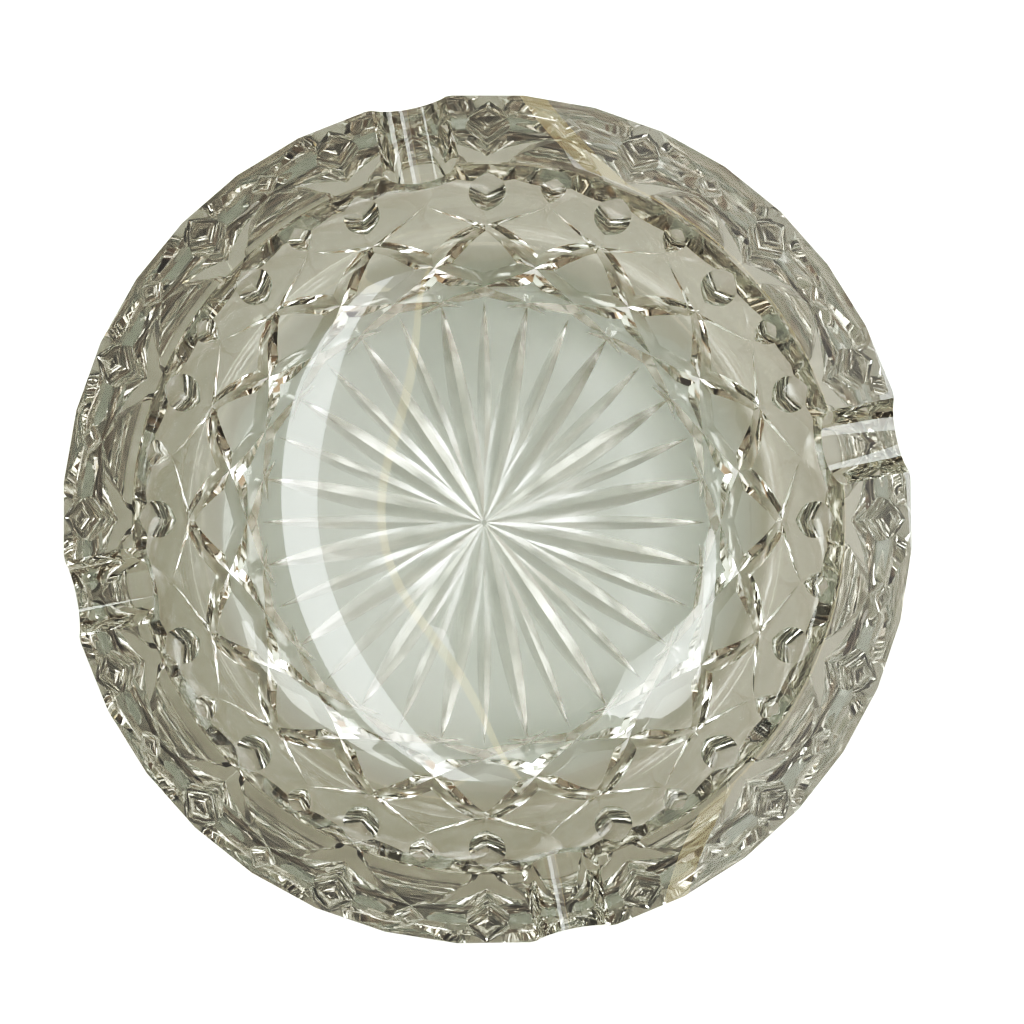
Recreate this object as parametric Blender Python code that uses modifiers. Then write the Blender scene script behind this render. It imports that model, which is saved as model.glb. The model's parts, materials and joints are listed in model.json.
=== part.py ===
"""Cut-glass dappen dish: a round, thick-walled crystal dish with four rests ground across its rim.

The dish is one piece of glass. It is turned from one profile and then cut, as a glass cutter works it:
a lattice of mitre cuts round the lower wall, upright olive cuts above them, narrow flats round the rim,
four round rests across the rim, and a star under the base. Metres, +Z up, origin at the centre of the
base, with +X in the middle of a rest.
"""

import math

import bmesh
import bpy
from mathutils import Vector

MM = 0.001
UP = Vector((0.0, 0.0, 1.0))

# Driving dimensions
HEIGHT = 37.4 * MM
RIM_INNER_RADIUS = 48.3 * MM
EDGE_BEVEL = 0.4 * MM           # along the rim's inner edge
FLOOR_THICKNESS = 8.73 * MM     # in the middle of the bowl
FLOOR_EDGE = (33.84 * MM, 13.09 * MM)  # where the hollowed floor goes over into the wall
FLOOR_POWER = 3.0               # the floor is nearly flat in the middle and rises with this power of the radius
FLOOR_EDGE_TILT = math.radians(21.13)
FLOOR_HANDLE = 14.2 * MM        # how far the floor's direction carries into the wall's curve
WALL_TILT = math.radians(64.8)  # of the inner wall where it meets the rim
WALL_HANDLE = 15.24 * MM        # how far the wall's direction carries down into the same curve

# The outside, from the rim's edge down to the flat that the dish stands on: (radius, height)
OUTSIDE = (
    (57.85 * MM, 37.3 * MM),
    (58.35 * MM, 21.5 * MM),
    (56.45 * MM, 15.2 * MM),
    (53.70 * MM, 7.4 * MM),
    (47.50 * MM, 3.85 * MM),
    (37.50 * MM, 0.0 * MM),
)
OUTER_RADIUS = OUTSIDE[0][0]

# The pattern
REPEATS = 16                    # lattice diamonds, olives and large star rays in one turn
PITCH = 2 * math.pi / REPEATS
RESTS = 4                       # one over every fourth lattice point
REST_RADIUS = 6.0 * MM
REST_DEPTH = 3.0 * MM
FLATS_BETWEEN_RESTS = 8
REST_SPAN = math.radians(12.0)  # of the rim that a rest takes
FLAT_CORNER_RADIUS = 57.75 * MM

# Mitre cuts: half width and half angle of the V
MITRE_HALF_WIDTH = 2.1 * MM
MITRE_HALF_ANGLE = math.radians(50)
SECOND_HAND_DEEPER = 0.08 * MM  # the cuts of one hand run under those of the other
OLIVE_HALF_ANGLE = math.radians(57)
LARGE_OLIVE = {"half_width": 3.3 * MM, "low": 11.3 * MM, "high": 21.8 * MM}
SMALL_OLIVE = {"half_width": 2.2 * MM, "low": 15.4 * MM, "high": 21.8 * MM}
STAR_HALF_ANGLE = math.radians(52)
LARGE_RAY = {"half_width": 1.8 * MM, "start": -6.0 * MM, "end": 36.8 * MM}
SMALL_RAY = {"half_width": 1.1 * MM, "start": 4.0 * MM, "end": 36.4 * MM}

# How fine the curves are
TURN_STEPS = 96
FLOOR_RINGS = (0.5, 0.8)        # shares of the floor's radius
WALL_STEPS = 5
OUTSIDE_STEPS = 2               # of the turned surface, between two points of the outside
PATH_STEPS = 8                  # of the line that the wheels follow, between the same points
CUT_STEPS = 11                  # odd, so that no two mitre cuts share a station where they cross
CUTTER_LIFT = 1.6 * MM          # how far a cutter stands out of the glass
WHEEL_REACH = 1.2 * MM          # the wheel's direction follows the outside over this much each way

# Each mitre cut runs in over the base's edge, so that the base's outline becomes a shallow zigzag, and
# climbs to its point on the steep wall. These are the heights at which it crosses its mirror images, half
# a pitch apart. Those below zero lie on the outside's line carried on under the base.
LATTICE_HEIGHTS = (-1.3 * MM, -0.3 * MM, 0.45 * MM, 1.9 * MM, 6.5 * MM, 15.0 * MM)
LATTICE_FIRST = -1              # the first of them, counted in half pitches from the cut's own angle
RUN_OUT = 6.0 * MM              # how far the outside's line is carried on


def clear_scene():
    for obj in list(bpy.data.objects):
        bpy.data.objects.remove(obj)


def new_collection(name):
    collection = bpy.data.collections.new(name)
    bpy.context.scene.collection.children.link(collection)
    return collection


def mesh_object(name, bm, collection):
    bmesh.ops.recalc_face_normals(bm, faces=bm.faces)
    mesh = bpy.data.meshes.new(name)
    bm.to_mesh(mesh)
    bm.free()
    obj = bpy.data.objects.new(name, mesh)
    collection.objects.link(obj)
    return obj


def bezier(points, steps):
    """A cubic curve in the (radius, height) plane."""
    result = []
    for k in range(steps + 1):
        t = k / steps
        shares = ((1 - t)**3, 3 * (1 - t)**2 * t, 3 * (1 - t) * t**2, t**3)
        radius = sum(share * p[0] for share, p in zip(shares, points))
        height = sum(share * p[1] for share, p in zip(shares, points))
        result.append((radius, height))
    return result


def curve_through(points, steps):
    """A smooth curve through points of the (radius, height) plane, with steps between each two."""
    knots = [Vector(p) for p in points]
    knots = [2 * knots[0] - knots[1]] + knots + [2 * knots[-1] - knots[-2]]
    result = []
    for before, a, b, after in zip(knots, knots[1:], knots[2:], knots[3:]):
        length = (b - a).length
        at_a = ((b - a) / length * (a - before).length + (a - before).normalized() * length)
        at_a *= length / ((a - before).length + length)
        at_b = ((after - b).normalized() * length + (b - a) / length * (after - b).length)
        at_b *= length / ((after - b).length + length)
        for k in range(steps):
            t = k / steps
            point = (
                a * (2 * t**3 - 3 * t**2 + 1)
                + at_a * (t**3 - 2 * t**2 + t)
                + b * (3 * t**2 - 2 * t**3)
                + at_b * (t**3 - t**2)
            )
            result.append((point.x, point.y))
    result.append(tuple(points[-1]))
    return result


def dish_profile():
    """Half section, from the floor's middle out over the rim and down the outside to the base's middle."""
    edge = Vector(FLOOR_EDGE)
    rise = edge.y - FLOOR_THICKNESS
    points = [(0.0, FLOOR_THICKNESS)]
    for share in FLOOR_RINGS:
        points.append((edge.x * share, FLOOR_THICKNESS + rise * share**FLOOR_POWER))
    top = Vector((RIM_INNER_RADIUS, HEIGHT))
    rising = Vector((math.cos(FLOOR_EDGE_TILT), math.sin(FLOOR_EDGE_TILT)))
    wall = Vector((math.cos(WALL_TILT), math.sin(WALL_TILT)))
    points += bezier((edge, edge + rising * FLOOR_HANDLE, top - wall * WALL_HANDLE, top), WALL_STEPS)[:-1]
    points.append(tuple(top - wall * EDGE_BEVEL))
    points.append((RIM_INNER_RADIUS + 0.5 * EDGE_BEVEL, HEIGHT))
    points += curve_through(OUTSIDE, OUTSIDE_STEPS)
    points.append((0.0, 0.0))
    return points


def turned_body(collection):
    profile = dish_profile()
    mesh = bpy.data.meshes.new("glass_dish")
    edges = [(k, k + 1) for k in range(len(profile) - 1)]
    mesh.from_pydata([(r, 0.0, z) for r, z in profile], edges, [])
    body = bpy.data.objects.new("glass_dish", mesh)
    collection.objects.link(body)
    screw = body.modifiers.new("turn", "SCREW")
    screw.steps = TURN_STEPS
    screw.render_steps = TURN_STEPS
    screw.use_merge_vertices = True
    screw.merge_threshold = 0.00001
    screw.use_normal_calculate = True
    # Half a step round, so that no cut's middle lies along an edge of the turned surface
    body.rotation_euler.z = math.pi / TURN_STEPS
    return body


def wheel_path():
    """The outside from its run-out under the base up to the rim."""
    path = [Vector(p) for p in reversed(curve_through(OUTSIDE, PATH_STEPS))]
    start = path[0] - (path[1] - path[0]).normalized() * RUN_OUT
    return [start] + path


PATH = wheel_path()


def path_lengths():
    lengths = [-RUN_OUT]
    for low, high in zip(PATH, PATH[1:]):
        lengths.append(lengths[-1] + (high - low).length)
    return lengths


LENGTHS = path_lengths()


def at_length(length):
    """Point of the outside at a length up from the base's edge."""
    length = min(max(length, LENGTHS[0]), LENGTHS[-1])
    k = 0
    while k < len(LENGTHS) - 2 and LENGTHS[k + 1] < length:
        k += 1
    share = (length - LENGTHS[k]) / (LENGTHS[k + 1] - LENGTHS[k])
    return PATH[k].lerp(PATH[k + 1], share)


def length_at(height):
    """Length up the outside, from the base's edge, at a height."""
    for k, (low, high) in enumerate(zip(PATH, PATH[1:])):
        if height <= high.y:
            break
    share = (height - low.y) / (high.y - low.y)
    return LENGTHS[k] + (LENGTHS[k + 1] - LENGTHS[k]) * share


def on_outside(length):
    """Point of the outside and its outward normal, both in the (radius, height) plane."""
    rise = at_length(length + WHEEL_REACH) - at_length(length - WHEEL_REACH)
    rise.normalize()
    return at_length(length), Vector((rise.y, -rise.x))


def smooth_through(values, x):
    """A Catmull-Rom curve through equally spaced values, at x from 0 to len(values) - 1."""
    k = min(int(x), len(values) - 2)
    t = x - k
    before = values[k - 1] if k else 2 * values[0] - values[1]
    after = values[k + 2] if k + 2 < len(values) else 2 * values[-1] - values[-2]
    a, b = values[k], values[k + 1]
    rise_a = (b - before) / 2
    rise_b = (after - a) / 2
    return (
        a * (2 * t**3 - 3 * t**2 + 1)
        + rise_a * (t**3 - 2 * t**2 + t)
        + b * (3 * t**2 - 2 * t**3)
        + rise_b * (t**3 - t**2)
    )


def v_cutter(name, stations, half_angle, collection):
    """A bar of triangular section. Each station is (point on the glass, outward normal, sideways, depth)."""
    bm = bmesh.new()
    slope = math.tan(half_angle)
    rings = []
    for point, normal, sideways, depth in stations:
        half = max(depth + CUTTER_LIFT, 0.2 * MM) * slope
        top = point + normal * CUTTER_LIFT
        corners = (point - normal * depth, top + sideways * half, top - sideways * half)
        rings.append([bm.verts.new(c) for c in corners])
    for low, high in zip(rings, rings[1:]):
        for k in range(3):
            j = (k + 1) % 3
            bm.faces.new((low[k], low[j], high[j], high[k]))
    bm.faces.new(rings[0])
    bm.faces.new(rings[-1])
    return mesh_object(name, bm, collection)


def lattice_cutter(name, start, hand, collection):
    """One mitre cut, climbing in direction hand (+1 or -1) from the angle start."""
    rows = [length_at(height) for height in LATTICE_HEIGHTS]
    centres = []
    for k in range(CUT_STEPS + 1):
        share = k / CUT_STEPS
        x = share * (len(rows) - 1)
        spot, facing = on_outside(smooth_through(rows, x))
        angle = start + hand * (x + LATTICE_FIRST) * PITCH / 2
        out = Vector((math.cos(angle), math.sin(angle), 0.0))
        point = out * spot.x + UP * spot.y
        normal = out * facing.x + UP * facing.y
        ends = 1 - 1.06 * abs(2 * share - 1) ** 3
        depth = MITRE_HALF_WIDTH / math.tan(MITRE_HALF_ANGLE) * ends
        if hand < 0:
            depth += SECOND_HAND_DEEPER
        centres.append((point, normal, depth))
    stations = []
    for k, (point, normal, depth) in enumerate(centres):
        along = centres[min(k + 1, CUT_STEPS)][0] - centres[max(k - 1, 0)][0]
        stations.append((point, normal, normal.cross(along).normalized(), depth))
    return v_cutter(name, stations, MITRE_HALF_ANGLE, collection)


def wheel_depth(share, greatest):
    """Depth of a wheel's cut along its length, share running from 0 to 1."""
    return greatest * (1 - 1.06 * (2 * share - 1) ** 2)


def olive_cutter(name, angle, size, collection):
    out = Vector((math.cos(angle), math.sin(angle), 0.0))
    sideways = Vector((-math.sin(angle), math.cos(angle), 0.0))
    greatest = size["half_width"] / math.tan(OLIVE_HALF_ANGLE)
    stations = []
    for k in range(CUT_STEPS + 1):
        share = k / CUT_STEPS
        height = size["low"] + (size["high"] - size["low"]) * share
        spot, facing = on_outside(length_at(height))
        point = out * spot.x + UP * spot.y
        normal = out * facing.x + UP * facing.y
        stations.append((point, normal, sideways, wheel_depth(share, greatest)))
    return v_cutter(name, stations, OLIVE_HALF_ANGLE, collection)


def ray_cutter(name, angle, size, collection):
    out = Vector((math.cos(angle), math.sin(angle), 0.0))
    sideways = Vector((-math.sin(angle), math.cos(angle), 0.0))
    down = Vector((0.0, 0.0, -1.0))
    greatest = size["half_width"] / math.tan(STAR_HALF_ANGLE)
    stations = []
    for k in range(CUT_STEPS + 1):
        share = k / CUT_STEPS
        reach = size["start"] + (size["end"] - size["start"]) * share
        stations.append((out * max(reach, 0.0), down, sideways, wheel_depth(share, greatest)))
    first = next(k for k, s in enumerate(stations) if s[0].length > 0)
    return v_cutter(name, stations[max(first - 1, 0):], STAR_HALF_ANGLE, collection)


def rest_cutter(name, angle, collection):
    """A cylinder lying across the rim."""
    bpy.ops.mesh.primitive_cylinder_add(vertices=48, radius=REST_RADIUS, depth=30 * MM)
    rest = bpy.context.object
    rest.name = name
    middle = (RIM_INNER_RADIUS + OUTER_RADIUS) / 2
    rest.location = (
        middle * math.cos(angle),
        middle * math.sin(angle),
        HEIGHT - REST_DEPTH + REST_RADIUS,
    )
    rest.rotation_euler = (0.0, math.pi / 2, angle)
    for old in list(rest.users_collection):
        old.objects.unlink(rest)
    collection.objects.link(rest)
    return rest


def rim_corner_angles():
    """Angles of the corners between the flats, with each rest's span left as one side."""
    quarter = 2 * math.pi / RESTS
    flat = (quarter - REST_SPAN) / FLATS_BETWEEN_RESTS
    for rest in range(RESTS):
        shoulder = rest * quarter + REST_SPAN / 2
        for k in range(FLATS_BETWEEN_RESTS + 1):
            yield shoulder + k * flat


def rim_flats(collection):
    """A many-sided prism that keeps what is inside it: it grinds the flats round the rim."""
    bm = bmesh.new()
    corners = []
    for angle in rim_corner_angles():
        x = FLAT_CORNER_RADIUS * math.cos(angle)
        y = FLAT_CORNER_RADIUS * math.sin(angle)
        corners.append(bm.verts.new((x, y, -5 * MM)))
    base = bm.faces.new(corners)
    raised = bmesh.ops.extrude_face_region(bm, geom=[base])
    tops = [v for v in raised["geom"] if isinstance(v, bmesh.types.BMVert)]
    bmesh.ops.translate(bm, verts=tops, vec=(0.0, 0.0, HEIGHT + 10 * MM))
    return mesh_object("rim_flats_keep", bm, collection)


def all_cutters(collection):
    for k in range(REPEATS):
        point = k * PITCH
        valley = point + PITCH / 2
        lattice_cutter(f"mitre_left_{k:02d}", point, 1, collection)
        lattice_cutter(f"mitre_right_{k:02d}", point, -1, collection)
        olive_cutter(f"olive_large_{k:02d}", valley, LARGE_OLIVE, collection)
        if k % (REPEATS // RESTS):
            olive_cutter(f"olive_small_{k:02d}", point, SMALL_OLIVE, collection)
        ray_cutter(f"ray_large_{k:02d}", point, LARGE_RAY, collection)
        ray_cutter(f"ray_small_{k:02d}", valley, SMALL_RAY, collection)
    for k in range(RESTS):
        rest_cutter(f"rest_{k}", k * 2 * math.pi / RESTS, collection)


def glass():
    material = bpy.data.materials.new("clear_crystal")
    material.use_nodes = True
    shader = material.node_tree.nodes["Principled BSDF"]
    shader.inputs["Base Color"].default_value = (0.86, 0.89, 0.84, 1.0)
    shader.inputs["Roughness"].default_value = 0.02
    shader.inputs["Metallic"].default_value = 0.0
    shader.inputs["IOR"].default_value = 1.52
    shader.inputs["Transmission Weight"].default_value = 1.0
    return material


def main():
    clear_scene()
    parts = new_collection("dappen_dish")
    cutters = new_collection("cutters")
    body = turned_body(parts)
    keep = rim_flats(cutters)
    cuts = bpy.data.collections.new("cuts")
    cutters.children.link(cuts)
    all_cutters(cuts)
    for obj in cutters.all_objects:
        obj.hide_render = True
        obj.display_type = "WIRE"
    flats = body.modifiers.new("grind_flats", "BOOLEAN")
    flats.operation = "INTERSECT"
    flats.object = keep
    cut = body.modifiers.new("cut_pattern", "BOOLEAN")
    cut.operation = "DIFFERENCE"
    cut.operand_type = "COLLECTION"
    cut.collection = cuts
    body.data.materials.append(glass())


main()
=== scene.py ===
import json
import math

import bmesh
import bpy
from mathutils import Matrix, Vector

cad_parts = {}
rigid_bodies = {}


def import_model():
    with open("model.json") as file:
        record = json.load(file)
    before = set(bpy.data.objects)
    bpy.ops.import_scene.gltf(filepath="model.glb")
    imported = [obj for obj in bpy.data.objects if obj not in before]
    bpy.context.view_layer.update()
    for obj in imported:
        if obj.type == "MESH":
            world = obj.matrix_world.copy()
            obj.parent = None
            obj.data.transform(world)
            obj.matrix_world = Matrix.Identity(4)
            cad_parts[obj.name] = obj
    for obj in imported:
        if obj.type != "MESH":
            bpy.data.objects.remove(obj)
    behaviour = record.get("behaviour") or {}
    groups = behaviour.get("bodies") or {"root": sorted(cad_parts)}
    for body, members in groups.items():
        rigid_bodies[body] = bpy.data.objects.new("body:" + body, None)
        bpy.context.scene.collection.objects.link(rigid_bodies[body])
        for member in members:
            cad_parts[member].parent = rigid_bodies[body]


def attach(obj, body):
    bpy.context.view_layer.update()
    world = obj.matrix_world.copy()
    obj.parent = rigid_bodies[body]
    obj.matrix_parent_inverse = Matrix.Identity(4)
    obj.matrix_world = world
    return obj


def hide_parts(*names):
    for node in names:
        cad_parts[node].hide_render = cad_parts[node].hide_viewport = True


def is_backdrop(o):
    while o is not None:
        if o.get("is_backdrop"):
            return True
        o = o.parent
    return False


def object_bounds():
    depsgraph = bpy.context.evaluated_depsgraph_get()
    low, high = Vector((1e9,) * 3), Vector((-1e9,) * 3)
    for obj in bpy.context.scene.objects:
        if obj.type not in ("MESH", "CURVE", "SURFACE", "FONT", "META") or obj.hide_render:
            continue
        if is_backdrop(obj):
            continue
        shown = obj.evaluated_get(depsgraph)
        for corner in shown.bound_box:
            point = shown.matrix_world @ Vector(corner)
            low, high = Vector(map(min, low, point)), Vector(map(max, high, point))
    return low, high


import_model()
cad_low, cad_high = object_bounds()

# A round dish of cut crystal. The glass is turned from its section, its rim is ground, and V-shaped wheels
# cut the lattice, the olives and the star, as in the CAD but in finer steps. The shape is worked out in
# millimetres, with a point of the section as (radius, height).
MM = 0.001
UP = Vector((0.0, 0.0, 1.0))

# ---------------------------------------------------------------- driving dimensions
HEIGHT = (cad_high.z - cad_low.z) / MM
RIM_INNER = 48.3
EDGE = 0.4                      # along the rim's inner edge
FLOOR_THICKNESS = 8.73          # in the middle of the bowl
FLOOR_EDGE = (33.84, 13.09)     # where the floor goes over into the wall
FLOOR_POWER = 3.0               # the floor rises with this power of the radius
FLOOR_EDGE_TILT = math.radians(21.13)
FLOOR_HANDLE = 14.2             # how far the floor's direction carries into the wall's curve
WALL_TILT = math.radians(64.8)
WALL_HANDLE = 15.24             # how far the wall's direction carries down into the same curve
OUTSIDE = ((57.85, 37.3), (58.35, 21.5), (56.45, 15.2), (53.7, 7.4), (47.5, 3.85), (37.5, 0.0))
OUTER = OUTSIDE[0][0]

# The rim's flats and rests
RESTS = 4
REST_RADIUS = 6.0
REST_DEPTH = 3.0
REST_LENGTH = 30.0              # of the wheel, more than the rim is wide
REST_SPAN = math.radians(12.0)  # of the rim that a rest takes
FLATS_BETWEEN_RESTS = 8
FLAT_CORNER = 57.75
FLATS_FROM = -5.0               # the prism of the flats starts below the table
FLATS_TALL = 50.0

# The cuts: an olive is (half width, low, high) and a ray is (half width, start, end)
REPEATS = 16
PITCH = 2 * math.pi / REPEATS
RUN_OUT = 6.0                   # how far the outside's line carries on under the base
LATTICE_HEIGHTS = (-1.3, -0.3, 0.45, 1.9, 6.5, 15.0)   # where a mitre cut meets its mirror images
LATTICE_FIRST = -1              # the first meeting, in half pitches from the cut's own start
MITRE_HALF_WIDTH = 2.1
MITRE_HALF_ANGLE = math.radians(50)
MITRE_END = 3                   # power with which a mitre cut gets shallower towards its ends
SECOND_HAND_DEEPER = 0.08       # the cuts of one hand run under those of the other
OLIVE_HALF_ANGLE = math.radians(57)
LARGE_OLIVE = (3.3, 11.3, 21.8)
SMALL_OLIVE = (2.2, 15.4, 21.8)
STAR_HALF_ANGLE = math.radians(52)
LARGE_RAY = (1.8, -6.0, 36.8)
SMALL_RAY = (1.1, 4.0, 36.4)
RAY_PAST_MIDDLE = 0.6           # a ray's stations further past the middle than this are left out
CUT_END = 1.06                  # over 1, so that a cutter's ends rise clear of the glass
CUTTER_LIFT = 1.6               # how far a cutter stands out of the glass
CUTTER_LEAST = 0.2              # least height of a cutter's section
CUTTER_SHARP = math.radians(25)
WHEEL_REACH = 1.2               # the wheel's direction follows the outside over this much each way

# How fine the curves are
TURN_STEPS = 384
FLOOR_STEPS = 32
WALL_STEPS = 40
PATH_STEPS = 10
CUT_STEPS = 40
REST_STEPS = 192
SHARP = math.radians(14)

# ---------------------------------------------------------------- looks
GLASS_TINT = (0.985, 0.99, 0.975, 1.0)
GLASS_IOR = 1.52
GLASS_COLOUR = (0.61, 0.595, 0.55, 1.0)    # of what passes through deep glass
GLASS_DENSITY = 24.0
WORN_UP_TO = 2.4                # the base and its star are satin below this height
WORN_REACH = 36.4               # and inside this radius
BASE_ROUGHNESS = 0.17

# The table that the glass shows, with painted shade: pale under the base, darker under the dish's overhang
# and around it, where its shadow falls, and darker further out still: (distance from the middle in mm,
# colour)
SHADE_SPAN = 320.0
SHADE = (
    (0.0, (0.58, 0.61, 0.575)),
    (39.0, (0.58, 0.61, 0.575)),
    (45.0, (0.50, 0.50, 0.46)),
    (50.0, (0.43, 0.415, 0.37)),
    (62.0, (0.29, 0.275, 0.24)),
    (80.0, (0.24, 0.225, 0.20)),
    (120.0, (0.28, 0.24, 0.20)),
    (200.0, (0.14, 0.11, 0.08)),
    (320.0, (0.10, 0.08, 0.06)),
)
TABLE_SIZE = 3.0                # in metres
TABLE_DROP = 0.2                # under the base, so that the two faces don't coincide
TABLE_ROUGHNESS = 0.6
# the table as the camera sees it, without the painted shade
UNSHADED_TABLE = (0.93, 0.93, 0.92, 1.0)

# The room, from straight below (0) to straight above (1), and the blocks of light and dark in it
ROOM_STRENGTH = 1.12
ROOM_TONES = (
    (0.0, (0.26, 0.22, 0.18)),
    (0.5, (0.30, 0.26, 0.21)),
    (0.60, (0.53, 0.51, 0.46)),
    (0.75, (0.78, 0.78, 0.74)),
    (0.90, (1.05, 1.06, 1.04)),
    (1.0, (0.9, 0.9, 0.88)),
)
BLOCK_SCALE = 2.2
BLOCK_TONES = (
    (0.0, (0.06, 0.04, 0.03)),
    (0.34, (0.60, 0.46, 0.35)),
    (0.50, (1.05, 1.10, 1.02)),
    (0.80, (7.0, 7.3, 7.4)),
)
BLOCKS_FULL = 0.90              # the blocks fade out above this share of the way up
BLOCKS_GONE = 0.96
PALE_WALL = (1.3, 1.3, 1.28, 1.0)

# The camera, which looks nearly straight down. The picture's right is VIEW_TURN in the dish's frame
VIEW_TURN = math.radians(-11.25)
TURN = Matrix.Rotation(VIEW_TURN, 3, "Z")
CAMERA_DISTANCE = 233.6         # from the middle of the rim's plane
CAMERA_TILT = math.radians(2.4)
HALF_FRAME = 69.465             # half the picture's width, at the rim's plane
SHIFT = (0.0209, 0.0039)
SENSOR = 36                     # in Blender's millimetres
CLIP_START = 0.001              # in metres

SOFT_BOX_HEIGHT = 1.0           # in metres
TONE_CURVE = ((0.17, 0.11), (0.35, 0.345), (0.57, 0.615), (0.80, 0.85))
GLASS_BOUNCES = 64              # light is reflected many times inside the cuts
CLEAR_BOUNCES = 24


# ---------------------------------------------------------------- the section
def bezier(points, steps):
    """Points on a cubic Bezier curve, both ends included."""
    result = []
    for k in range(steps + 1):
        t = k / steps
        shares = ((1 - t)**3, 3 * (1 - t)**2 * t, 3 * (1 - t) * t**2, t**3)
        radius = sum(s * p[0] for s, p in zip(shares, points))
        height = sum(s * p[1] for s, p in zip(shares, points))
        result.append((radius, height))
    return result


def curve_through(points, steps):
    """Points on a smooth curve through the given ones, whose direction allows for uneven spacing."""
    knots = [Vector(p) for p in points]
    knots = [2 * knots[0] - knots[1]] + knots + [2 * knots[-1] - knots[-2]]
    result = []
    for before, a, b, after in zip(knots, knots[1:], knots[2:], knots[3:]):
        first, middle, last = (a - before).length, (b - a).length, (after - b).length
        at_a = ((b - a) / middle * first + (a - before) / first * middle) / (first + middle) * middle
        at_b = ((after - b) / last * middle + (b - a) / middle * last) / (middle + last) * middle
        for k in range(steps):
            t = k / steps
            p = (a * (2 * t**3 - 3 * t**2 + 1) + at_a * (t**3 - 2 * t**2 + t)
                 + b * (3 * t**2 - 2 * t**3) + at_b * (t**3 - t**2))
            result.append((p.x, p.y))
    result.append(tuple(points[-1]))
    return result


# The outside's line from the base up, carried on under the base, and the length along it at each point
PATH = list(reversed(curve_through(OUTSIDE, PATH_STEPS)))
PATH.insert(0, tuple(Vector(PATH[0]) - (Vector(PATH[1]) - Vector(PATH[0])).normalized() * RUN_OUT))
LENGTHS = [-RUN_OUT]
for low, high in zip(PATH, PATH[1:]):
    LENGTHS.append(LENGTHS[-1] + math.dist(low, high))


def at_length(length):
    """The point of the outside at a length along it."""
    length = min(max(length, LENGTHS[0]), LENGTHS[-1])
    k = 0
    while k < len(LENGTHS) - 2 and LENGTHS[k + 1] < length:
        k += 1
    share = (length - LENGTHS[k]) / (LENGTHS[k + 1] - LENGTHS[k])
    return Vector(PATH[k]).lerp(Vector(PATH[k + 1]), share)


def length_at(height):
    """The length along the outside at a height."""
    for k, (low, high) in enumerate(zip(PATH, PATH[1:])):
        if height <= high[1]:
            break
    share = (height - low[1]) / (high[1] - low[1])
    return LENGTHS[k] + (LENGTHS[k + 1] - LENGTHS[k]) * share


def on_outside(length):
    """The point at a length along the outside, and the direction that it faces."""
    rise = at_length(length + WHEEL_REACH) - at_length(length - WHEEL_REACH)
    rise.normalize()
    return at_length(length), Vector((rise.y, -rise.x))


def dish_profile():
    """The glass's section, from the middle of the floor over the rim to the middle of the base."""
    edge = Vector(FLOOR_EDGE)
    points = []
    for k in range(FLOOR_STEPS):
        share = k / FLOOR_STEPS
        rise = (edge.y - FLOOR_THICKNESS) * share**FLOOR_POWER
        points.append((edge.x * share, FLOOR_THICKNESS + rise))
    top = Vector((RIM_INNER, HEIGHT))
    rising = Vector((math.cos(FLOOR_EDGE_TILT), math.sin(FLOOR_EDGE_TILT)))
    wall = Vector((math.cos(WALL_TILT), math.sin(WALL_TILT)))
    handles = (edge, edge + rising * FLOOR_HANDLE, top - wall * WALL_HANDLE, top)
    points += bezier(handles, WALL_STEPS)[:-1]
    # Three points make the rim's inner edge a soft one
    points.append(tuple(top - wall * EDGE))
    points.append((RIM_INNER + 0.2 * EDGE, HEIGHT - 0.15 * EDGE))
    points.append((RIM_INNER + 2 * EDGE, HEIGHT))
    points += curve_through(OUTSIDE, PATH_STEPS)
    points.append((0.0, 0.0))
    return points


# ---------------------------------------------------------------- cutters
def smooth_through(values, x):
    """The value at x of a smooth curve through values, which are one apart."""
    k = min(int(x), len(values) - 2)
    t = x - k
    before = values[k - 1] if k else 2 * values[0] - values[1]
    after = values[k + 2] if k + 2 < len(values) else 2 * values[-1] - values[-2]
    a, b = values[k], values[k + 1]
    return (a * (2 * t**3 - 3 * t**2 + 1) + (b - before) / 2 * (t**3 - 2 * t**2 + t)
            + b * (3 * t**2 - 2 * t**3) + (after - a) / 2 * (t**3 - t**2))


def new_object(name, bm, collection):
    mesh = bpy.data.meshes.new(name)
    bm.to_mesh(mesh)
    bm.free()
    result = bpy.data.objects.new(name, mesh)
    collection.objects.link(result)
    return result


def v_cutter(name, stations, half_angle, collection):
    """A bar of triangular section. A station is (point on the glass, outward normal, sideways, depth)."""
    bm = bmesh.new()
    slope = math.tan(half_angle)
    rings = []
    for point, normal, sideways, depth in stations:
        half = max(depth + CUTTER_LIFT, CUTTER_LEAST) * slope
        top = point + normal * CUTTER_LIFT
        corners = (point - normal * depth, top + sideways * half, top - sideways * half)
        rings.append([bm.verts.new(c * MM) for c in corners])
    for low, high in zip(rings, rings[1:]):
        for k in range(3):
            j = (k + 1) % 3
            bm.faces.new((low[k], low[j], high[j], high[k]))
    bm.faces.new(rings[0])
    bm.faces.new(rings[-1])
    bmesh.ops.recalc_face_normals(bm, faces=bm.faces)
    for face in bm.faces:
        face.smooth = True
    cutter = new_object(name, bm, collection)
    cutter.data.set_sharp_from_angle(angle=CUTTER_SHARP)
    return cutter


def wheel_depth(share, greatest):
    """The depth that a round wheel leaves at a share of the cut's length."""
    return greatest * (1 - CUT_END * (2 * share - 1) ** 2)


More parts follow.
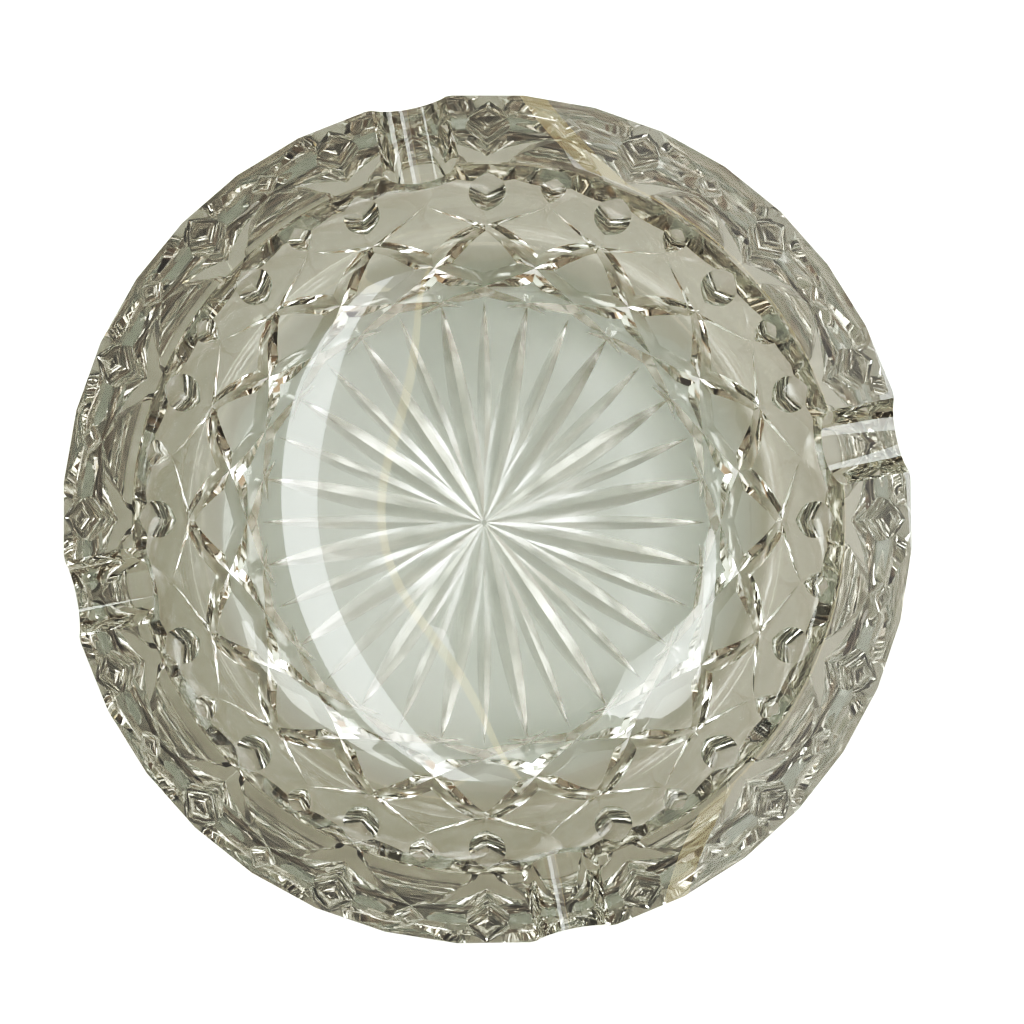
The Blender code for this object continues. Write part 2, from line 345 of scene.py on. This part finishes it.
def lattice_cutter(name, start, hand, collection):
    """A mitre cut, which climbs the outside and leans half a pitch from each meeting to the next."""
    rows = [length_at(height) for height in LATTICE_HEIGHTS]
    centres = []
    for k in range(CUT_STEPS + 1):
        share = k / CUT_STEPS
        x = share * (len(rows) - 1)
        spot, facing = on_outside(smooth_through(rows, x))
        angle = start + hand * (x + LATTICE_FIRST) * PITCH / 2
        out = Vector((math.cos(angle), math.sin(angle), 0.0))
        ends = 1 - CUT_END * abs(2 * share - 1) ** MITRE_END
        depth = MITRE_HALF_WIDTH / math.tan(MITRE_HALF_ANGLE) * ends
        if hand < 0:
            depth += SECOND_HAND_DEEPER
        centres.append((out * spot.x + UP * spot.y, out * facing.x + UP * facing.y, depth))
    stations = []
    for k, (point, normal, depth) in enumerate(centres):
        along = centres[min(k + 1, CUT_STEPS)][0] - centres[max(k - 1, 0)][0]
        stations.append((point, normal, normal.cross(along).normalized(), depth))
    return v_cutter(name, stations, MITRE_HALF_ANGLE, collection)


def olive_cutter(name, angle, size, collection):
    """An upright cut, pointed at both ends."""
    half_width, low, high = size
    out = Vector((math.cos(angle), math.sin(angle), 0.0))
    sideways = Vector((-math.sin(angle), math.cos(angle), 0.0))
    stations = []
    for k in range(CUT_STEPS + 1):
        share = k / CUT_STEPS
        spot, facing = on_outside(length_at(low + (high - low) * share))
        depth = wheel_depth(share, half_width / math.tan(OLIVE_HALF_ANGLE))
        stations.append((out * spot.x + UP * spot.y, out * facing.x + UP * facing.y, sideways, depth))
    return v_cutter(name, stations, OLIVE_HALF_ANGLE, collection)


def ray_cutter(name, angle, size, collection):
    """A ray of the star, cut up into the base. It is deepest halfway between its start and its end."""
    half_width, start, end = size
    out = Vector((math.cos(angle), math.sin(angle), 0.0))
    sideways = Vector((-math.sin(angle), math.cos(angle), 0.0))
    stations = []
    for k in range(CUT_STEPS + 1):
        share = k / CUT_STEPS
        reach = start + (end - start) * share
        if reach < -RAY_PAST_MIDDLE:
            continue
        depth = wheel_depth(share, half_width / math.tan(STAR_HALF_ANGLE))
        stations.append((out * max(reach, 0.0), -UP, sideways, depth))
    return v_cutter(name, stations, STAR_HALF_ANGLE, collection)


def rest_cutter(name, angle, collection):
    """A round bar across the rim."""
    bpy.ops.mesh.primitive_cylinder_add(vertices=REST_STEPS, radius=REST_RADIUS * MM, depth=REST_LENGTH * MM)
    rest = bpy.context.object
    rest.name = name
    rest.data.shade_smooth()
    rest.data.set_sharp_from_angle(angle=CUTTER_SHARP)
    middle = (RIM_INNER + OUTER) / 2 * MM
    axis_height = (HEIGHT - REST_DEPTH + REST_RADIUS) * MM
    rest.location = (middle * math.cos(angle), middle * math.sin(angle), axis_height)
    rest.rotation_euler = (0.0, math.pi / 2, angle)
    for old in list(rest.users_collection):
        old.objects.unlink(rest)
    collection.objects.link(rest)
    return rest


def rim_flats():
    """A many-sided prism that keeps what is inside it: it grinds the flats round the rim."""
    quarter = 2 * math.pi / RESTS
    flat = (quarter - REST_SPAN) / FLATS_BETWEEN_RESTS
    bm = bmesh.new()
    corners = []
    for rest in range(RESTS):
        for k in range(FLATS_BETWEEN_RESTS + 1):
            angle = rest * quarter + REST_SPAN / 2 + k * flat
            corner = Vector((math.cos(angle), math.sin(angle), 0.0)) * FLAT_CORNER + UP * FLATS_FROM
            corners.append(bm.verts.new(corner * MM))
    raised = bmesh.ops.extrude_face_region(bm, geom=[bm.faces.new(corners)])
    tops = [v for v in raised["geom"] if isinstance(v, bmesh.types.BMVert)]
    bmesh.ops.translate(bm, verts=tops, vec=UP * FLATS_TALL * MM)
    bmesh.ops.recalc_face_normals(bm, faces=bm.faces)
    return new_object("rim_flats_keep", bm, bpy.context.scene.collection)


def all_cutters(cuts):
    for k in range(REPEATS):
        point = k * PITCH
        valley = point + PITCH / 2
        lattice_cutter(f"mitre_left_{k}", point, 1, cuts)
        lattice_cutter(f"mitre_right_{k}", point, -1, cuts)
        olive_cutter(f"olive_large_{k}", valley, LARGE_OLIVE, cuts)
        if k % (REPEATS // RESTS):          # no small olive under a rest
            olive_cutter(f"olive_small_{k}", point, SMALL_OLIVE, cuts)
        ray_cutter(f"ray_large_{k}", point, LARGE_RAY, cuts)
        ray_cutter(f"ray_small_{k}", valley, SMALL_RAY, cuts)
    for k in range(RESTS):
        rest_cutter(f"rest_{k}", k * 2 * math.pi / RESTS, cuts)


def cut_dish():
    """The finished dish, with its modifiers applied and its cutters gone."""
    cuts = bpy.data.collections.new("cuts")
    bpy.context.scene.collection.children.link(cuts)
    all_cutters(cuts)
    keep = rim_flats()

    profile = dish_profile()
    mesh = bpy.data.meshes.new("cut_crystal_dish")
    edges = [(k, k + 1) for k in range(len(profile) - 1)]
    mesh.from_pydata([(r * MM, 0.0, z * MM) for r, z in profile], edges, [])
    dish = bpy.data.objects.new("cut_crystal_dish", mesh)
    bpy.context.scene.collection.objects.link(dish)
    screw = dish.modifiers.new("turn", "SCREW")
    screw.steps = TURN_STEPS
    screw.render_steps = TURN_STEPS
    screw.use_merge_vertices = True
    screw.merge_threshold = 1e-6
    screw.use_normal_calculate = True
    screw.use_smooth_shade = True
    dish.rotation_euler.z = math.pi / TURN_STEPS    # half a step, so that no cut lies along a seam
    flats = dish.modifiers.new("flats", "BOOLEAN")
    flats.operation = "INTERSECT"
    flats.object = keep
    flats.solver = "MANIFOLD"
    cut = dish.modifiers.new("cut", "BOOLEAN")
    cut.operation = "DIFFERENCE"
    cut.operand_type = "COLLECTION"
    cut.collection = cuts
    cut.solver = "MANIFOLD"
    bpy.context.view_layer.update()
    depsgraph = bpy.context.evaluated_depsgraph_get()
    finished = bpy.data.meshes.new_from_object(
        dish.evaluated_get(depsgraph), preserve_all_data_layers=True, depsgraph=depsgraph)
    dish.modifiers.clear()
    dish.data = finished
    finished.transform(dish.matrix_world)
    dish.rotation_euler.z = 0.0
    finished.set_sharp_from_angle(angle=SHARP)
    for tool in list(cuts.objects) + [keep]:
        bpy.data.objects.remove(tool)
    bpy.data.collections.remove(cuts)
    return dish


# ---------------------------------------------------------------- materials
def new_material(name):
    material = bpy.data.materials.new(name)
    material.use_nodes = True
    return material, material.node_tree.nodes, material.node_tree.links


def fill_ramp(node, stops):
    elements = node.color_ramp.elements
    elements[0].position, elements[-1].position = 0.0, 1.0
    while len(elements) < len(stops):
        elements.new(0.5)
    for element, (position, colour) in zip(elements, stops):
        element.position = position
        element.color = (*colour, 1.0)


def math_node(nodes, links, operation, first, second):
    """A Math node of one linked value and another that is a number or linked too."""
    node = nodes.new("ShaderNodeMath")
    node.operation = operation
    links.new(first, node.inputs[0])
    if isinstance(second, float):
        node.inputs[1].default_value = second
    else:
        links.new(second, node.inputs[1])
    return node.outputs["Value"]


def crystal():
    """Clear polished glass, tinted with depth, whose base and star are satin from standing on tables."""
    material, nodes, links = new_material("clear_crystal")
    shader = nodes["Principled BSDF"]
    shader.inputs["Base Color"].default_value = GLASS_TINT
    shader.inputs["IOR"].default_value = GLASS_IOR
    shader.inputs["Transmission Weight"].default_value = 1.0
    place = nodes.new("ShaderNodeNewGeometry")
    split = nodes.new("ShaderNodeSeparateXYZ")
    links.new(place.outputs["Position"], split.inputs["Vector"])
    flat = nodes.new("ShaderNodeCombineXYZ")
    links.new(split.outputs["X"], flat.inputs["X"])
    links.new(split.outputs["Y"], flat.inputs["Y"])
    reach = nodes.new("ShaderNodeVectorMath")
    reach.operation = "LENGTH"
    links.new(flat.outputs["Vector"], reach.inputs[0])
    low_down = math_node(nodes, links, "LESS_THAN", split.outputs["Z"], WORN_UP_TO * MM)
    inside = math_node(nodes, links, "LESS_THAN", reach.outputs["Value"], WORN_REACH * MM)
    both = math_node(nodes, links, "MULTIPLY", low_down, inside)
    worn = math_node(nodes, links, "MULTIPLY", both, BASE_ROUGHNESS)
    links.new(worn, shader.inputs["Roughness"])
    depth = nodes.new("ShaderNodeVolumeAbsorption")
    depth.inputs["Color"].default_value = GLASS_COLOUR
    depth.inputs["Density"].default_value = GLASS_DENSITY
    links.new(depth.outputs["Volume"], nodes["Material Output"].inputs["Volume"])
    return material


# ---------------------------------------------------------------- the studio
def table():
    """A pale table. What the glass shows of it carries painted shade, darker under and around the dish,
    while the camera sees it plain.
    """
    bpy.ops.mesh.primitive_plane_add(size=TABLE_SIZE)
    top = bpy.context.object
    top.name = "table_top"
    top.location.z = -TABLE_DROP * MM
    material, nodes, links = new_material("pale_table_painted_shade")
    shaded = nodes["Principled BSDF"]
    shaded.inputs["Roughness"].default_value = TABLE_ROUGHNESS
    place = nodes.new("ShaderNodeNewGeometry")
    reach = nodes.new("ShaderNodeVectorMath")
    reach.operation = "LENGTH"
    links.new(place.outputs["Position"], reach.inputs[0])
    share = nodes.new("ShaderNodeMapRange")
    share.inputs["From Max"].default_value = SHADE_SPAN * MM
    links.new(reach.outputs["Value"], share.inputs["Value"])
    # Painted shade, by distance from the dish's middle
    shade = nodes.new("ShaderNodeValToRGB")
    fill_ramp(shade, [(radius / SHADE_SPAN, colour) for radius, colour in SHADE])
    links.new(share.outputs["Result"], shade.inputs["Fac"])
    links.new(shade.outputs["Color"], shaded.inputs["Base Color"])
    unshaded_table = nodes.new("ShaderNodeBsdfPrincipled")
    unshaded_table.inputs["Base Color"].default_value = UNSHADED_TABLE
    unshaded_table.inputs["Roughness"].default_value = TABLE_ROUGHNESS
    # The camera sees the plain table; what the glass and bounced light show of it has the painted shade
    path = nodes.new("ShaderNodeLightPath")
    either = nodes.new("ShaderNodeMixShader")
    links.new(path.outputs["Is Camera Ray"], either.inputs["Fac"])
    links.new(shaded.outputs["BSDF"], either.inputs[1])
    links.new(unshaded_table.outputs["BSDF"], either.inputs[2])
    links.new(either.outputs["Shader"], nodes["Material Output"].inputs["Surface"])
    top.data.materials.append(material)
    top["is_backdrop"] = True
    return top


def room():
    """A world that is lighter overhead, with blocks of light and dark, as windows and furniture give."""
    world = bpy.data.worlds.new("studio")
    bpy.context.scene.world = world
    world.use_nodes = True
    nodes = world.node_tree.nodes
    links = world.node_tree.links
    background = nodes["Background"]
    background.inputs["Strength"].default_value = ROOM_STRENGTH

    coordinates = nodes.new("ShaderNodeTexCoord")
    split = nodes.new("ShaderNodeSeparateXYZ")
    share = nodes.new("ShaderNodeMapRange")
    ramp = nodes.new("ShaderNodeValToRGB")
    share.inputs["From Min"].default_value = -1.0
    share.inputs["From Max"].default_value = 1.0
    links.new(coordinates.outputs["Generated"], split.inputs["Vector"])
    links.new(split.outputs["Z"], share.inputs["Value"])
    links.new(share.outputs["Result"], ramp.inputs["Fac"])
    fill_ramp(ramp, ROOM_TONES)

    blocks = nodes.new("ShaderNodeTexVoronoi")
    blocks.distance = "CHEBYCHEV"
    blocks.inputs["Scale"].default_value = BLOCK_SCALE
    links.new(coordinates.outputs["Generated"], blocks.inputs["Vector"])
    tones = nodes.new("ShaderNodeValToRGB")
    tones.color_ramp.interpolation = "CONSTANT"
    links.new(blocks.outputs["Color"], tones.inputs["Fac"])
    fill_ramp(tones, BLOCK_TONES)

    low_down = nodes.new("ShaderNodeMapRange")
    low_down.inputs["From Min"].default_value = BLOCKS_GONE
    low_down.inputs["From Max"].default_value = BLOCKS_FULL
    links.new(share.outputs["Result"], low_down.inputs["Value"])
    both = nodes.new("ShaderNodeMix")
    both.data_type = "RGBA"
    both.blend_type = "MULTIPLY"
    links.new(low_down.outputs["Result"], both.inputs["Factor"])
    links.new(ramp.outputs["Color"], both.inputs["A"])
    links.new(tones.outputs["Color"], both.inputs["B"])

    # The blocks are there for the glass to catch. Behind the dish the camera sees a plain pale wall
    wall = nodes.new("ShaderNodeMix")
    wall.data_type = "RGBA"
    wall.inputs["B"].default_value = PALE_WALL
    path = nodes.new("ShaderNodeLightPath")
    links.new(path.outputs["Is Camera Ray"], wall.inputs["Factor"])
    links.new(both.outputs["Result"], wall.inputs["A"])
    links.new(wall.outputs["Result"], background.inputs["Color"])


def soft_box(x, y, size, radiance, turn=0.0, colour=(1.0, 1.0, 1.0)):
    """A soft box facing down, in metres. x and y are offsets in the picture's directions."""
    size_x, size_y = size
    data = bpy.data.lights.new("soft_box", "AREA")
    data.shape = "RECTANGLE"
    data.size = size_x
    data.size_y = size_y
    data.energy = radiance * math.pi * size_x * size_y
    data.color = colour
    light = bpy.data.objects.new("soft_box", data)
    bpy.context.scene.collection.objects.link(light)
    spin = Matrix.Rotation(VIEW_TURN + math.radians(turn), 3, "Z")
    light.location = spin @ Vector((x, y, SOFT_BOX_HEIGHT))
    light.rotation_euler = (0.0, 0.0, VIEW_TURN + math.radians(turn))
    return light


def camera():
    data = bpy.data.cameras.new("camera")
    eye = bpy.data.objects.new("camera", data)
    bpy.context.scene.collection.objects.link(eye)
    side = math.sin(CAMERA_TILT) * math.sqrt(0.5)   # the tilt is shared by the picture's two directions
    forward = TURN @ Vector((side, side, -math.cos(CAMERA_TILT)))
    back = -forward
    right = (TURN @ Vector((0.0, 1.0, 0.0))).cross(back).normalized()
    up = back.cross(right)
    place = Matrix((right, up, back)).transposed().to_4x4()
    place.translation = UP * HEIGHT * MM - forward * CAMERA_DISTANCE * MM
    eye.matrix_world = place
    data.sensor_width = SENSOR
    data.lens = SENSOR / 2 * CAMERA_DISTANCE / HALF_FRAME
    data.shift_x, data.shift_y = SHIFT
    data.clip_start = CLIP_START
    bpy.context.scene.camera = eye


def look():
    """The tone curve, and enough bounces for light to find its way out of the cuts."""
    scene = bpy.context.scene
    scene.view_settings.view_transform = "Standard"
    scene.view_settings.use_curve_mapping = True
    tone_curve = scene.view_settings.curve_mapping
    for tone in TONE_CURVE:
        tone_curve.curves[3].points.new(*tone)
    tone_curve.update()
    scene.cycles.max_bounces = GLASS_BOUNCES
    scene.cycles.transmission_bounces = GLASS_BOUNCES
    scene.cycles.glossy_bounces = GLASS_BOUNCES
    scene.cycles.transparent_max_bounces = CLEAR_BOUNCES


# ---------------------------------------------------------------- the scene
dish = cut_dish()
dish.data.materials.clear()
dish.data.materials.append(crystal())
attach(dish, "root")
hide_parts("glass_dish")
table()
room()
soft_box(0.435, 0.0, (0.19, 3.0), 6.8, turn=10.0, colour=(0.93, 0.98, 1.0))    # the crescent on the floor
soft_box(0.235, 0.0, (0.21, 3.0), 1.4, turn=10.0)
soft_box(0.120, 0.0, (0.02, 3.0), 3.0, turn=10.0, colour=(1.0, 0.85, 0.5))     # the crescent's warm edge
soft_box(0.13, 0.21, (0.12, 0.14), 4.0)
camera()
look()

low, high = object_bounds()
